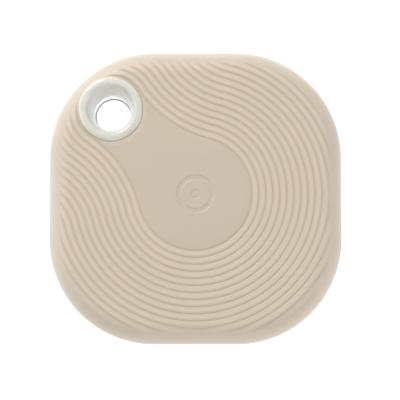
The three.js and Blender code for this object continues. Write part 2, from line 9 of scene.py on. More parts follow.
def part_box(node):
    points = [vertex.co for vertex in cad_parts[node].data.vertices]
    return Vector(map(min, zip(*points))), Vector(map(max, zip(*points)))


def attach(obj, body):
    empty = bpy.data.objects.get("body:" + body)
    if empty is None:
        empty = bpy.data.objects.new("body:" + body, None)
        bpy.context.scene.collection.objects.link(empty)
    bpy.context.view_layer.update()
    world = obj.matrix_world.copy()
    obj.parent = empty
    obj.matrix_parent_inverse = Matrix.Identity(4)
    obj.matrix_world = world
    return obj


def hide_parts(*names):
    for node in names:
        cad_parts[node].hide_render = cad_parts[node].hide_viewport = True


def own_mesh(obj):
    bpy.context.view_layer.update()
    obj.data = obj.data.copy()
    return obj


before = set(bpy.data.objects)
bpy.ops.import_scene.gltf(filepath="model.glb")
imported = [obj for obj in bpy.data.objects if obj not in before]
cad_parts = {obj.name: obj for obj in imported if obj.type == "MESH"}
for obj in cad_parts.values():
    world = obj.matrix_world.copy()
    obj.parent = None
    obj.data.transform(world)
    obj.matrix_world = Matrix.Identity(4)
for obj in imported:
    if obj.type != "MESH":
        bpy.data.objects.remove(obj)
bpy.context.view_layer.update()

MM = 0.001

# ---------------------------------------------------------------- rear housing
# Injection-moulded tray in beige ABS with a fine spark-eroded texture. Its wall stops at a
# shoulder, and a thinner tongue goes on up inside the cover. The battery bay, the eyelet's
# boss and the screw posts are moulded in one with the floor.

HOUSING_LOW, HOUSING_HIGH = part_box("rear_housing")
CASE_HALF = HOUSING_HIGH.x
CORNER_RADIUS = 14.4 * MM
BACK_ROLL = 2.4 * MM
SHOULDER = 4.2 * MM
TONGUE_INSET = 1.45 * MM
TONGUE_WALL = 0.9 * MM
FLOOR = 1.4 * MM
FIT_GAP = 0.03 * MM             # between pieces that touch
BEIGE = (0.60, 0.517, 0.418, 1)


def new_material(name, colour, roughness, metallic=0.0):
    """A material with one Principled shader, and its node tree to build on."""
    look = bpy.data.materials.new(name)
    look.use_nodes = True
    shader = look.node_tree.nodes["Principled BSDF"]
    shader.inputs["Base Color"].default_value = colour
    shader.inputs["Roughness"].default_value = roughness
    shader.inputs["Metallic"].default_value = metallic
    return look, look.node_tree, shader


def add_node(tree, kind, **settings):
    node = tree.nodes.new(kind)
    for name, value in settings.items():
        if name in node.inputs:
            node.inputs[name].default_value = value
        else:
            setattr(node, name, value)
    return node


def grain(tree, shader, scale, height, detail=2.0):
    """Bump from fine noise on the object's own coordinates: scale in grains a metre."""
    place = add_node(tree, "ShaderNodeTexCoord")
    noise = add_node(tree, "ShaderNodeTexNoise", Scale=scale, Detail=detail, Roughness=0.6)
    bump = add_node(tree, "ShaderNodeBump", Strength=1.0, Distance=height)
    tree.links.new(place.outputs["Object"], noise.inputs["Vector"])
    tree.links.new(noise.outputs["Fac"], bump.inputs["Height"])
    tree.links.new(bump.outputs["Normal"], shader.inputs["Normal"])
    return noise


def mottle(tree, shader, colour, scale, spread):
    """Varies a colour a little from place to place."""
    place = add_node(tree, "ShaderNodeTexCoord")
    noise = add_node(tree, "ShaderNodeTexNoise", Scale=scale, Detail=3.0)
    ramp = add_node(tree, "ShaderNodeValToRGB")
    dark = [channel * (1 - spread) for channel in colour[:3]] + [1]
    light = [min(1, channel * (1 + spread)) for channel in colour[:3]] + [1]
    ramp.color_ramp.elements[0].color = dark
    ramp.color_ramp.elements[1].color = light
    ramp.color_ramp.elements[0].position = 0.3
    ramp.color_ramp.elements[1].position = 0.7
    tree.links.new(place.outputs["Object"], noise.inputs["Vector"])
    tree.links.new(noise.outputs["Fac"], ramp.inputs["Fac"])
    tree.links.new(ramp.outputs["Color"], shader.inputs["Base Color"])


def moulded_plastic(name, colour, roughness, grain_height):
    """Matte moulded plastic: spark-eroded grain, and slight flow variation in the colour."""
    look, tree, shader = new_material(name, colour, roughness)
    shader.inputs["Coat Weight"].default_value = 0.12
    shader.inputs["Coat Roughness"].default_value = 0.4
    shader.inputs["Sheen Weight"].default_value = 0.4
    shader.inputs["Sheen Roughness"].default_value = 0.3
    mottle(tree, shader, colour, 260, 0.012)
    grain(tree, shader, 9000, grain_height)
    return look


BEIGE_SHELL = moulded_plastic("beige_shell", BEIGE, 0.52, 0.004 * MM)


def finish_piece(bm, name, look, slot, body, nodes=(), sharp=32):
    """Turns a built mesh into a named piece that rides on a body and stands for CAD nodes."""
    bmesh.ops.remove_doubles(bm, verts=bm.verts, dist=1e-7)
    for loose in [e for e in bm.edges if not e.link_faces]:
        bm.edges.remove(loose)
    bmesh.ops.recalc_face_normals(bm, faces=bm.faces)
    mesh = bpy.data.meshes.new(name)
    bm.to_mesh(mesh)
    bm.free()
    mesh.materials.append(look)
    mesh.shade_smooth()
    mesh.set_sharp_from_angle(angle=math.radians(sharp))
    piece = bpy.data.objects.new(name, mesh)
    bpy.context.scene.collection.objects.link(piece)
    flat = piece.modifiers.new("flat_faces_stay_flat", "WEIGHTED_NORMAL")
    flat.keep_sharp = True
    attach(piece, body)
    if nodes:
        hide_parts(*nodes)
    return piece


def mesh_object(bm):
    """A bmesh as a plain object for the boolean modifier."""
    mesh = bpy.data.meshes.new("blank")
    bmesh.ops.recalc_face_normals(bm, faces=bm.faces)
    bm.to_mesh(mesh)
    bm.free()
    blank = bpy.data.objects.new("blank", mesh)
    bpy.context.scene.collection.objects.link(blank)
    return blank


def combine(bm, tools, operation):
    """Joins closed meshes to another, or cuts them out of it, and returns the result."""
    for tool in tools:
        body, other = mesh_object(bm), mesh_object(tool)
        step = body.modifiers.new("step", "BOOLEAN")
        step.object, step.operation, step.solver = other, operation, "EXACT"
        shaped = body.evaluated_get(bpy.context.evaluated_depsgraph_get())
        bm = bmesh.new()
        bm.from_mesh(shaped.to_mesh())
        shaped.to_mesh_clear()
        for blank in (body, other):
            bpy.data.objects.remove(blank)
    return bm


def soften(bm, edges, radius, segments):
    bmesh.ops.bevel(bm, geom=edges, affect="EDGES", offset=radius, offset_type="OFFSET",
                    segments=segments, profile=0.5, material=-1, clamp_overlap=True)


def level_edges(bm, height):
    """Edges that lie at one height."""
    return [e for e in bm.edges if all(abs(v.co.z - height) < 1e-6 for v in e.verts)]


def case_plate(inset, low, high):
    """A slab of the case outline, moved inwards by inset."""
    bm = bmesh.new()
    half = CASE_HALF - inset
    bmesh.ops.create_cube(bm, size=1)
    bmesh.ops.scale(bm, vec=(2 * half, 2 * half, high - low), verts=bm.verts)
    bmesh.ops.translate(bm, vec=(0, 0, (low + high) / 2), verts=bm.verts)
    upright = [e for e in bm.edges if abs(e.verts[0].co.z - e.verts[1].co.z) > 1e-6]
    soften(bm, upright, CORNER_RADIUS - inset, 28)
    return bm


def rod(place, radius, low, high, steps=64, top_radius=None):
    bm = bmesh.new()
    bmesh.ops.create_cone(bm, cap_ends=True, segments=steps, radius1=radius,
                          radius2=top_radius or radius, depth=high - low)
    bmesh.ops.translate(bm, vec=(place.x, place.y, (low + high) / 2), verts=bm.verts)
    return bm


def revolve(bm, profile, centre, steps=96, start=0.0, width=360.0):
    """Spins a closed profile of (radius, height) points about a vertical axis, width degrees."""
    turn = math.radians(start)
    way = Vector((math.cos(turn), math.sin(turn), 0))
    place = Vector((centre.x, centre.y, 0))
    verts = [bm.verts.new(place + way * radius + Vector((0, 0, height))) for radius, height in profile]
    edges = [bm.edges.new(pair) for pair in zip(verts, verts[1:] + verts[:1])]
    whole = width == 360.0
    bmesh.ops.spin(bm, geom=verts + edges, cent=place, axis=(0, 0, 1), angle=math.radians(width),
                   steps=steps, use_merge=whole, use_duplicate=False)
    if not whole:
        bmesh.ops.holes_fill(bm, edges=[e for e in bm.edges if e.is_boundary])
    return bm


def dimple(place, height):
    """A ball that leaves a shallow round dimple in the face at that height, from below."""
    ball = (DIMPLE_RADIUS ** 2 + DIMPLE_DEPTH ** 2) / (2 * DIMPLE_DEPTH)
    bm = bmesh.new()
    bmesh.ops.create_uvsphere(bm, u_segments=96, v_segments=96, radius=ball)
    bmesh.ops.translate(bm, vec=(place.x, place.y, height + DIMPLE_DEPTH - ball), verts=bm.verts)
    return bm


DOOR_LOW, DOOR_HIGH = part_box("battery_door")
SEAL_LOW, SEAL_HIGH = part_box("door_seal")
BOARD_LOW, BOARD_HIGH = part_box("circuit_board")
BELL_LOW, BELL_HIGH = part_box("eyelet_bezel")
FLARE_LOW, FLARE_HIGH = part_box("eyelet_rear_ring")
DOOR_AT = (SEAL_LOW + SEAL_HIGH) / 2
EYELET_AT = (BELL_LOW + BELL_HIGH) / 2
RECESS_RADIUS = 12.87 * MM
RECESS_LIP = 0.2 * MM
LEDGE_LOW, LEDGE_HIGH = 1.02 * MM, 1.72 * MM
LEDGE_RADIUS = 11.29 * MM
BAY_RADIUS, BAY_OUTER = 12.09 * MM, 12.99 * MM
BOSS_BORE, BOSS_RADIUS, BOSS_TOP = 3.33 * MM, 3.98 * MM, 6.6 * MM
POST_AT, POST_RADIUS, POST_HOLE = 12.7 * MM, 1.8 * MM, 0.73 * MM
DOOR_TURN = 36
MARK_ANGLE = -45
LUGS = 3
DIMPLE_RADIUS, DIMPLE_DEPTH = 0.5 * MM, 0.12 * MM
CATCH_WIDTH, CATCH_LOW, CATCH_HIGH = 6 * MM, 5.8 * MM, 6.15 * MM
CATCH_INSET = 1.0 * MM
GASKET_LOW, GASKET_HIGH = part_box("cover_gasket")


def slab(bm, low, high, edge=0.04 * MM, segments=1):
    """Adds a block with softened edges between two corners."""
    verts = bmesh.ops.create_cube(bm, size=1)["verts"]
    low, high = Vector(low), Vector(high)
    bmesh.ops.scale(bm, vec=high - low, verts=verts)
    bmesh.ops.translate(bm, vec=(low + high) / 2, verts=verts)
    soften(bm, list({e for v in verts for e in v.link_edges}), edge, segments)
    return bm


def side_bars(width, outer_inset, inner_inset, low, high):
    """A bar along each of the four sides, between two insets from the outline."""
    far, near, half = CASE_HALF - outer_inset, CASE_HALF - inner_inset, width / 2
    return [
        slab(bmesh.new(), (near, -half, low), (far, half, high)),
        slab(bmesh.new(), (-far, -half, low), (-near, half, high)),
        slab(bmesh.new(), (-half, near, low), (half, far, high)),
        slab(bmesh.new(), (-half, -far, low), (half, -near, high)),
    ]


def round_the_door(radius, angle):
    turn = math.radians(angle)
    return Vector((DOOR_AT.x + radius * math.cos(turn), DOOR_AT.y + radius * math.sin(turn), 0))


def housing_shape():
    wall = case_plate(0, HOUSING_LOW.z, SHOULDER)
    soften(wall, level_edges(wall, HOUSING_LOW.z), BACK_ROLL, 12)
    soften(wall, level_edges(wall, SHOULDER), 0.18 * MM, 3)
    tongue = case_plate(TONGUE_INSET, FLOOR, HOUSING_HIGH.z - 0.3 * MM)
    soften(tongue, level_edges(tongue, HOUSING_HIGH.z - 0.3 * MM), 0.2 * MM, 2)
    tray = combine(wall, [tongue], "UNION")
    tray = combine(tray, [case_plate(TONGUE_INSET + TONGUE_WALL, FLOOR, 8 * MM)], "DIFFERENCE")
    under_board = BOARD_LOW.z - FIT_GAP
    half_floor = FLOOR / 2
    posts = [Vector((x, y)) * POST_AT for x, y in ((1, 1), (1, -1), (-1, -1))]
    added = [rod(DOOR_AT, BAY_OUTER, half_floor, under_board, 128)]
    added.append(rod(EYELET_AT, BOSS_RADIUS, half_floor, BOSS_TOP))
    added += [rod(place, POST_RADIUS, half_floor, under_board, 32) for place in posts]
    added += side_bars(CATCH_WIDTH, CATCH_INSET, TONGUE_INSET + 0.1 * MM, CATCH_LOW, CATCH_HIGH)
    tray = combine(tray, added, "UNION")
    gasket_seat = combine(
        case_plate(-MM, GASKET_LOW.z - FIT_GAP, GASKET_HIGH.z + FIT_GAP),
        [case_plate(TONGUE_INSET + 0.45 * MM, 4 * MM, 7 * MM)], "DIFFERENCE",
    )
    recess = [
        (0, -MM), (RECESS_RADIUS + RECESS_LIP + MM, -MM), (RECESS_RADIUS + RECESS_LIP, 0),
        (RECESS_RADIUS + 0.06 * MM, 0.06 * MM), (RECESS_RADIUS, RECESS_LIP), (RECESS_RADIUS, LEDGE_LOW),
        (0, LEDGE_LOW),
    ]
    flare_seat = FLARE_HIGH.x - EYELET_AT.x + 0.05 * MM
    seat = [
        (0, -MM), (flare_seat + MM, -MM), (flare_seat + 0.12 * MM, 0), (flare_seat, 0.12 * MM),
        (flare_seat, 0.75 * MM), (0, 0.75 * MM),
    ]
    notch_in, notch_out, notch_top = 10.4 * MM, 11.97 * MM, LEDGE_HIGH + 0.1 * MM
    notch = [(notch_in, -MM), (notch_out, -MM), (notch_out, notch_top), (notch_in, notch_top)]
    notches = [
        revolve(bmesh.new(), notch, DOOR_AT, 12, 120 * n - DOOR_TURN - 15, 30) for n in range(LUGS)
    ]
    removed = [
        gasket_seat,
        rod(DOOR_AT, BAY_RADIUS, LEDGE_HIGH, BOARD_HIGH.z, 128), rod(DOOR_AT, LEDGE_RADIUS, -MM, 3 * MM, 128),
        revolve(bmesh.new(), recess, DOOR_AT, 144), *notches,
        rod(EYELET_AT, BOSS_BORE, -MM, 8 * MM), revolve(bmesh.new(), seat, EYELET_AT),
        *[rod(place, POST_HOLE, FLOOR, 8 * MM, 24) for place in posts],
        dimple(round_the_door(RECESS_RADIUS + 1.2 * MM, MARK_ANGLE), 0),
        dimple(round_the_door(RECESS_RADIUS + 1.2 * MM, MARK_ANGLE - DOOR_TURN), 0),
    ]
    return combine(tray, removed, "DIFFERENCE")


finish_piece(housing_shape(), "housing_tray", BEIGE_SHELL, "shell_beige", "housing", ["rear_housing"])

# ---------------------------------------------------------------- battery door
# A round door in the same ABS, let into the back. A coin turns it by the curved slot, and three
# lugs then slide out of their notches from under the ledge. A dimple shows which way it stands.

SLOT_WIDTH, SLOT_LENGTH, SLOT_DEPTH = 1.7 * MM, 13 * MM, 0.65 * MM
DOOR_RADIUS = 12.75 * MM
DOOR_RING_INNER, DOOR_RING_OUTER, LUG_OUTER = 10.35 * MM, 11.05 * MM, 11.85 * MM
DOOR_PLATE_TOP, FLANGE_TOP, LUG_LOW = 1.1 * MM, 0.9 * MM, 1.84 * MM


def coin_slot():
    """A slot with the bottom that the edge of a coin leaves, across the door at 45 degrees."""
    radius = ((SLOT_LENGTH / 2) ** 2 + SLOT_DEPTH ** 2) / (2 * SLOT_DEPTH)
    bm = bmesh.new()
    bmesh.ops.create_cone(bm, cap_ends=True, segments=720, radius1=radius, radius2=radius, depth=SLOT_WIDTH)
    bmesh.ops.rotate(bm, verts=bm.verts, matrix=Matrix.Rotation(math.pi / 2, 3, "X"))
    bmesh.ops.rotate(bm, verts=bm.verts, matrix=Matrix.Rotation(math.pi / 4, 3, "Z"))
    height = DOOR_LOW.z + SLOT_DEPTH - radius
    bmesh.ops.translate(bm, vec=(DOOR_AT.x, DOOR_AT.y, height), verts=bm.verts)
    return bm


def door_shape():
    groove_in, groove_out, groove_top = 11.65 * MM, 12.35 * MM, 0.43 * MM
    profile = [
        (0, DOOR_LOW.z), (DOOR_RADIUS - 0.3 * MM, DOOR_LOW.z),
        (DOOR_RADIUS - 0.12 * MM, DOOR_LOW.z + 0.05 * MM),
        (DOOR_RADIUS - 0.03 * MM, DOOR_LOW.z + 0.14 * MM), (DOOR_RADIUS, DOOR_LOW.z + 0.3 * MM),
        (DOOR_RADIUS, FLANGE_TOP), (groove_out, FLANGE_TOP), (groove_out, groove_top),
        (groove_in, groove_top), (groove_in, FLANGE_TOP), (DOOR_RING_OUTER, FLANGE_TOP),
        (DOOR_RING_OUTER, DOOR_HIGH.z), (DOOR_RING_INNER, DOOR_HIGH.z),
        (DOOR_RING_INNER, DOOR_PLATE_TOP), (0, DOOR_PLATE_TOP),
    ]
    lug = [
        (DOOR_RING_OUTER - 0.3 * MM, LUG_LOW), (LUG_OUTER, LUG_LOW), (LUG_OUTER, DOOR_HIGH.z - 0.1 * MM),
        (LUG_OUTER - 0.1 * MM, DOOR_HIGH.z), (DOOR_RING_OUTER - 0.3 * MM, DOOR_HIGH.z),
    ]
    lugs = [revolve(bmesh.new(), lug, DOOR_AT, 10, 120 * n - 12, 24) for n in range(LUGS)]
    door = combine(revolve(bmesh.new(), profile, DOOR_AT, 144), lugs, "UNION")
    mark = dimple(round_the_door(DOOR_RADIUS - 1.3 * MM, MARK_ANGLE), DOOR_LOW.z)
    return combine(door, [coin_slot(), mark], "DIFFERENCE")


finish_piece(door_shape(), "coin_door", BEIGE_SHELL, "shell_beige", "door", ["battery_door"])

# ---------------------------------------------------------------- front cover
# The whole face is one push button: a shell in the same beige ABS. The mould cuts fine
# valleys round a smooth plateau, which is a middle disc with a neck out to the eyelet, and
# each valley keeps its distance from it, as ripples do. The valleys run out at the margin.

COVER_LOW, COVER_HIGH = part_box("front_cover")
SKIRT_WALL = 1.3 * MM
EDGE_ROLL = 3.0 * MM
EDGE_ROLL_HEIGHT = 3.4 * MM
CROWN = 0.25 * MM               # how far the face falls at CROWN_RADIUS from its middle
CROWN_RADIUS = 18 * MM
DISC = Vector((0, 0.3 * MM))    # middle of the plateau's disc
DISC_RADIUS = 7.69 * MM
EYE_RADIUS = 4.63 * MM          # the plateau round the eyelet
NECK_RADIUS = 16.9 * MM         # hollow arcs that join the two
PITCH = 0.95 * MM
VALLEY_DEPTH = 0.13 * MM
VALLEY_SHARPNESS = 2.7
MARGIN = 1.45 * MM              # from the outline to where the valleys have run out
RUN_OUT = 0.75 * MM
SEAT_RADIUS = BELL_HIGH.x - EYELET_AT.x + FIT_GAP
SEAT_DEPTH = 0.9 * MM
SLIDE_RADIUS = 3.42 * MM        # the cover slides along the eyelet here
COLLAR_RADIUS = 4.4 * MM
COLLAR_LOW = 7.2 * MM
CEILING = 8.5 * MM
CAVITY_ROLL = 2.2 * MM
FOOT_ROUND = 0.14 * MM
LIP = EYE_RADIUS - SEAT_RADIUS  # band of plateau between the eyelet's seat and the first valley
MARK_RINGS = (2.62, 2.5, 2.02, 1.9, 0.72, 0.6)   # edges of the ring and dot, in mm
MARK_DEPTH = 0.09 * MM
PAD_CLEARANCE = 0.4 * MM        # from the key pad out to the edge of the boss over it
ROWS_IN_PITCH = (0, 0.1, 0.24, 0.46, 1.0, 1.54, 1.76, 1.9)   # in half pitches
RIPPLES = 15
ROLL_ROWS = 14

EYE = Vector((EYELET_AT.x, EYELET_AT.y))
AXIS = (EYE - DISC).normalized()
ACROSS = Vector((-AXIS.y, AXIS.x))
SPAN = (EYE - DISC).length
NECK_ALONG = ((DISC_RADIUS + NECK_RADIUS) ** 2 - (EYE_RADIUS + NECK_RADIUS) ** 2 + SPAN ** 2) / (2 * SPAN)
NECK_ACROSS = math.sqrt((DISC_RADIUS + NECK_RADIUS) ** 2 - NECK_ALONG ** 2)


def inset_of(point):
    """How far inside the case outline a plan point is."""
    reach = CASE_HALF - CORNER_RADIUS
    x, y = abs(point.x) - reach, abs(point.y) - reach
    return CORNER_RADIUS - math.hypot(max(x, 0), max(y, 0)) - min(max(x, y), 0)


def outward(point):
    """The way out of the case outline from a plan point."""
    reach = CASE_HALF - CORNER_RADIUS
    corner = Vector((max(-reach, min(reach, point.x)), max(-reach, min(reach, point.y))))
    way = point - corner
    if way.length > 1e-9:
        return way.normalized()
    return Vector((math.copysign(1, point.x), 0))


def face_height(point):
    """The smooth face and its rolled edge, before the valleys are cut."""
    crown = CROWN * (point.length / CROWN_RADIUS) ** 2
    inset = inset_of(point)
    if inset >= EDGE_ROLL:
        return COVER_HIGH.z - crown
    turn = min(1, (EDGE_ROLL - inset) / EDGE_ROLL)
    return COVER_HIGH.z - crown - EDGE_ROLL_HEIGHT * (1 - math.sqrt(1 - turn ** 2))


def valley(distance, point):
    """Depth of the ripple at a distance from the plateau's edge."""
    if distance < -PITCH / 2:
        return 0
    half = abs((distance / PITCH + 0.5) % 1 - 0.5) * 2
    fade = max(0, min(1, (inset_of(point) - MARGIN) / RUN_OUT))
    fade = fade * fade * (3 - 2 * fade)
    return VALLEY_DEPTH * fade * (1 - half) ** VALLEY_SHARPNESS


def columns():
    """Lines that cross every ripple squarely: (centre, its angle, radius at the edge, way)."""
    lean = math.degrees(math.atan2(NECK_ACROSS, NECK_ALONG))
    lean_eye = math.degrees(math.atan2(NECK_ACROSS, NECK_ALONG - SPAN))
    left = DISC + AXIS * NECK_ALONG + ACROSS * NECK_ACROSS
    right = DISC + AXIS * NECK_ALONG - ACROSS * NECK_ACROSS
    turns = [
        (DISC, lean, 360 - lean, DISC_RADIUS, 1, 160),
        (right, 180 - lean, 180 - lean_eye, NECK_RADIUS, -1, 30),
        (EYE, -lean_eye, lean_eye, EYE_RADIUS, 1, 72),
        (left, lean_eye - 180, lean - 180, NECK_RADIUS, -1, 30),
    ]
    for centre, start, end, radius, way, steps in turns:
        for step in range(steps):
            angle = math.radians(start + (end - start) * step / steps)
            line = AXIS * math.cos(angle) + ACROSS * math.sin(angle)
            yield centre, line, radius, way


def margin_distance(centre, line, radius, way):
    """How far from the plateau's edge a column meets the margin."""
    low, high = -2 * LIP, RIPPLES * PITCH
    for _ in range(40):
        middle = (low + high) / 2
        if inset_of(centre + line * (radius + way * middle)) > MARGIN:
            low = middle
        else:
            high = middle
    return low


def edge_point(start, share):
    """A point on the rolled edge and skirt: share is 0 at the margin and 1 at the skirt's foot."""
    roll_share = 0.62
    way = outward(start)
    first = math.acos(1 - min(1, inset_of(start) / EDGE_ROLL))
    if share < roll_share:
        angle = first * (1 - share / roll_share)
        plan = start + way * (inset_of(start) - EDGE_ROLL * (1 - math.cos(angle)))
        return Vector((plan.x, plan.y, face_height(plan)))
    plan = start + way * inset_of(start)
    drop = (share - roll_share) / (1 - roll_share)
    side = face_height(plan)
    return Vector((plan.x, plan.y, side + (COVER_LOW.z + FOOT_ROUND - side) * drop))


ripple_rows = [PITCH * (n + half / 2) for n in range(RIPPLES) for half in ROWS_IN_PITCH]
ripple_rows = [-LIP, -PITCH * 0.23, -PITCH * 0.12, -PITCH * 0.05] + ripple_rows
last_row = len(ripple_rows) - 1
far = ripple_rows[-1]


def cover_skin(bm):
    """The rippled face with its rolled edge and skirt: a grid wrapped round the plateau."""
    lines = list(columns())
    rows = last_row + ROLL_ROWS
    grid = bmesh.ops.create_grid(bm, x_segments=len(lines), y_segments=rows, size=1.0)
    for vert in grid["verts"]:
        column = round((vert.co.x + 1) / 2 * len(lines)) % len(lines)
        row = round((vert.co.y + 1) / 2 * rows)
        centre, line, radius, way = lines[column]
        limit = margin_distance(centre, line, radius, way)
        distance = ripple_rows[row] if row <= last_row else far + (row - last_row) * PITCH / 4
        if distance <= limit:
            plan = centre + line * (radius + way * distance)
            vert.co = (plan.x, plan.y, face_height(plan) - valley(distance, plan))
        else:
            start = centre + line * (radius + way * limit)
            end = far + ROLL_ROWS * PITCH / 4
            vert.co = edge_point(start, (distance - limit) / (end - limit))


def circle(centre, radius, start, end, steps):
    turns = [math.radians(start + (end - start) * step / steps) for step in range(steps)]
    return [centre + radius * (AXIS * math.cos(turn) + ACROSS * math.sin(turn)) for turn in turns]


def mark_depth(point):
    """A plain ring and dot, pressed lightly into the middle of the disc."""
    radius = (point - DISC).length / MM
    ring_out, ring_foot, ring_foot_in, ring_in, dot_out, dot_foot = MARK_RINGS
    if radius > (ring_out + ring_foot) / 2 or dot_out * 1.04 < radius < (ring_in + ring_foot_in) / 2:
        return 0
    return 0 if abs(radius - dot_out) < 0.01 else MARK_DEPTH


def plateau(bm):
    """The smooth disc and neck, as one fine net of triangles inside the first valley."""
    loop = []
    for index, (centre, line, radius, way) in enumerate(columns()):
        in_eye = centre == EYE
        if in_eye and loop and loop[-1] is not None:
            start = EYE + line * SEAT_RADIUS
            loop.append(start)
            loop.append(None)
        elif not in_eye:
            loop.append(centre + line * (radius - way * LIP))
    lean = math.degrees(math.atan2(NECK_ACROSS, NECK_ALONG - SPAN))
    arc = circle(EYE, SEAT_RADIUS, -lean, lean - 360, 56)[1:]
    middle = loop.index(None)
    loop = loop[:middle] + arc + loop[middle + 1:]
    on_seat = range(middle, middle + len(arc))
    points = list(loop)
    edges = [(n, (n + 1) % len(loop)) for n in range(len(loop))]
    for ring in MARK_RINGS:
        first = len(points)
        points += circle(DISC, ring * MM, 0, 360, 72)
        edges += [(first + n, first + (n + 1) % 72) for n in range(72)]
    step = 0.7 * MM
    for across in range(-24, 25):
        for along in range(-14, 36):
            spot = DISC + AXIS * along * step + ACROSS * across * step
            clear_of_mark = (spot - DISC).length > 3 * MM
            if clear_of_mark and on_plateau(spot, LIP + 0.3 * MM):
                points.append(spot)
    found, _, faces, sources, *_ = delaunay_2d_cdt(points, edges, [], 1, 1e-9)
    verts = []
    for spot, source in zip(found, sources):
        on_rim = source and source[0] < len(loop) and source[0] not in on_seat
        dip = valley(-LIP, spot) if on_rim else mark_depth(spot)
        verts.append(bm.verts.new((spot.x, spot.y, face_height(spot) - dip)))
    for face in faces:
        bm.faces.new([verts[n] for n in face])


def on_plateau(point, clear):
    """Whether a plan point is inside the plateau by some distance, and off the eyelet."""
    if (point - EYE).length < SEAT_RADIUS + 0.3 * MM:
        return False
    along = (point - DISC).dot(AXIS)
    across = abs((point - DISC).dot(ACROSS))
    if (point - DISC).length < DISC_RADIUS - clear:
        return True
    hollow = math.hypot(along - NECK_ALONG, across - NECK_ACROSS)
    past_disc = NECK_ACROSS * (along - NECK_ALONG) > NECK_ALONG * (across - NECK_ACROSS)
    return past_disc and along < SPAN and across < NECK_ACROSS and hollow > NECK_RADIUS + clear


def rim_edges(bm, near):
    """The open edges of a mesh whose middle passes a test."""
    return [e for e in bm.edges if e.is_boundary and near((e.verts[0].co + e.verts[1].co) / 2)]


def pull_rim(bm, edges, place):
    """Extrudes open edges, puts each new vertex where place says, and returns the new edges."""
    made = bmesh.ops.extrude_edge_only(bm, edges=edges)["geom"]
    for vert in [part for part in made if isinstance(part, bmesh.types.BMVert)]:
        vert.co = place(vert.co)
    return [part for part in made if isinstance(part, bmesh.types.BMEdge) and part.is_boundary]


def cover_block():
    """The rippled skin with the eyelet's round seat, closed flat underneath."""
    bm = bmesh.new()
    cover_skin(bm)
    plateau(bm)
    bmesh.ops.remove_doubles(bm, verts=bm.verts, dist=2e-6)
    bmesh.ops.dissolve_degenerate(bm, edges=bm.edges, dist=1e-7)

    def inside(inset, height):
        def place(point):
            plan = Vector((point.x, point.y))
            plan -= outward(plan) * (inset - inset_of(plan))
            return Vector((plan.x, plan.y, height))
        return place

    rim = rim_edges(bm, lambda p: p.z < COVER_LOW.z + 2 * FOOT_ROUND)
    for turn in (math.radians(30), math.radians(60), math.radians(90)):
        inset, height = FOOT_ROUND * (1 - math.cos(turn)), FOOT_ROUND * (1 - math.sin(turn))
        rim = pull_rim(bm, rim, inside(inset, COVER_LOW.z + height))
    near_eyelet = SEAT_RADIUS + 0.05 * MM
    hole = rim_edges(bm, lambda p: p.z > CEILING and (p.xy - EYE).length < near_eyelet)
    hole = pull_rim(bm, hole, lambda p: Vector((p.x, p.y, COVER_HIGH.z - SEAT_DEPTH)))
    for loop in (rim, hole):
        bmesh.ops.triangle_fill(bm, use_beauty=True, edges=loop)
    return bm


def cover_shell():
    """The block hollowed out round the eyelet's collar and the boss over the switch."""
    cavity = case_plate(SKIRT_WALL, COVER_LOW.z - 3 * MM, CEILING)
    soften(cavity, level_edges(cavity, CEILING), CAVITY_ROLL, 6)
    kept = [
        rod(EYELET_AT, COLLAR_RADIUS, COLLAR_LOW, CEILING + MM),
        rod(Vector((0, 0)), PAD_HIGH.x + PAD_CLEARANCE, PAD_HIGH.z + FIT_GAP, CEILING + MM),
    ]
    cavity = combine(cavity, kept, "DIFFERENCE")
    groove_out = SLIDE_RADIUS + 0.5 * MM
    groove = [
        (SLIDE_RADIUS - 0.2 * MM, RUBBER_LOW.z - FIT_GAP), (groove_out, RUBBER_LOW.z - FIT_GAP),
        (groove_out, RUBBER_HIGH.z + FIT_GAP), (SLIDE_RADIUS - 0.2 * MM, RUBBER_HIGH.z + FIT_GAP),
    ]
    windows = side_bars(CATCH_WIDTH + 0.6 * MM, CATCH_INSET - 0.1 * MM, SKIRT_WALL + MM,
                        CATCH_LOW - 0.05 * MM, CATCH_HIGH + 0.4 * MM)
    slide = rod(EYELET_AT, SLIDE_RADIUS, 0, COVER_HIGH.z + MM, 96)
    removed = [cavity, slide, revolve(bmesh.new(), groove, EYELET_AT), *windows]
    return combine(cover_block(), removed, "DIFFERENCE")


def paint_ripple_light(bm):
    """Marks each point of the face for painted light: 0 for painted shade in a valley, 1 for a painted
    highlight on the land between two, else the middle.
    """
    ripple_painted_light = bm.verts.layers.float.new("ripple_painted_light")
    for vert in bm.verts:
        plan = Vector((vert.co.x, vert.co.y))
        inset = inset_of(plan)
        vert[ripple_painted_light] = UNPAINTED_LEVEL
        if vert.co.z < FACE_LOW or inset < MARGIN or on_plateau(plan, LIP):
            continue
        fade = 0 if on_plateau(plan, 0) else min(1, (inset - MARGIN) / RUN_OUT)
        hollow = min(1, max(0, (face_height(plan) - vert.co.z) / VALLEY_DEPTH))
        land_highlight = UNPAINTED_LEVEL + (1 - UNPAINTED_LEVEL) * fade
        vert[ripple_painted_light] = land_highlight * (1 - hollow) ** 2


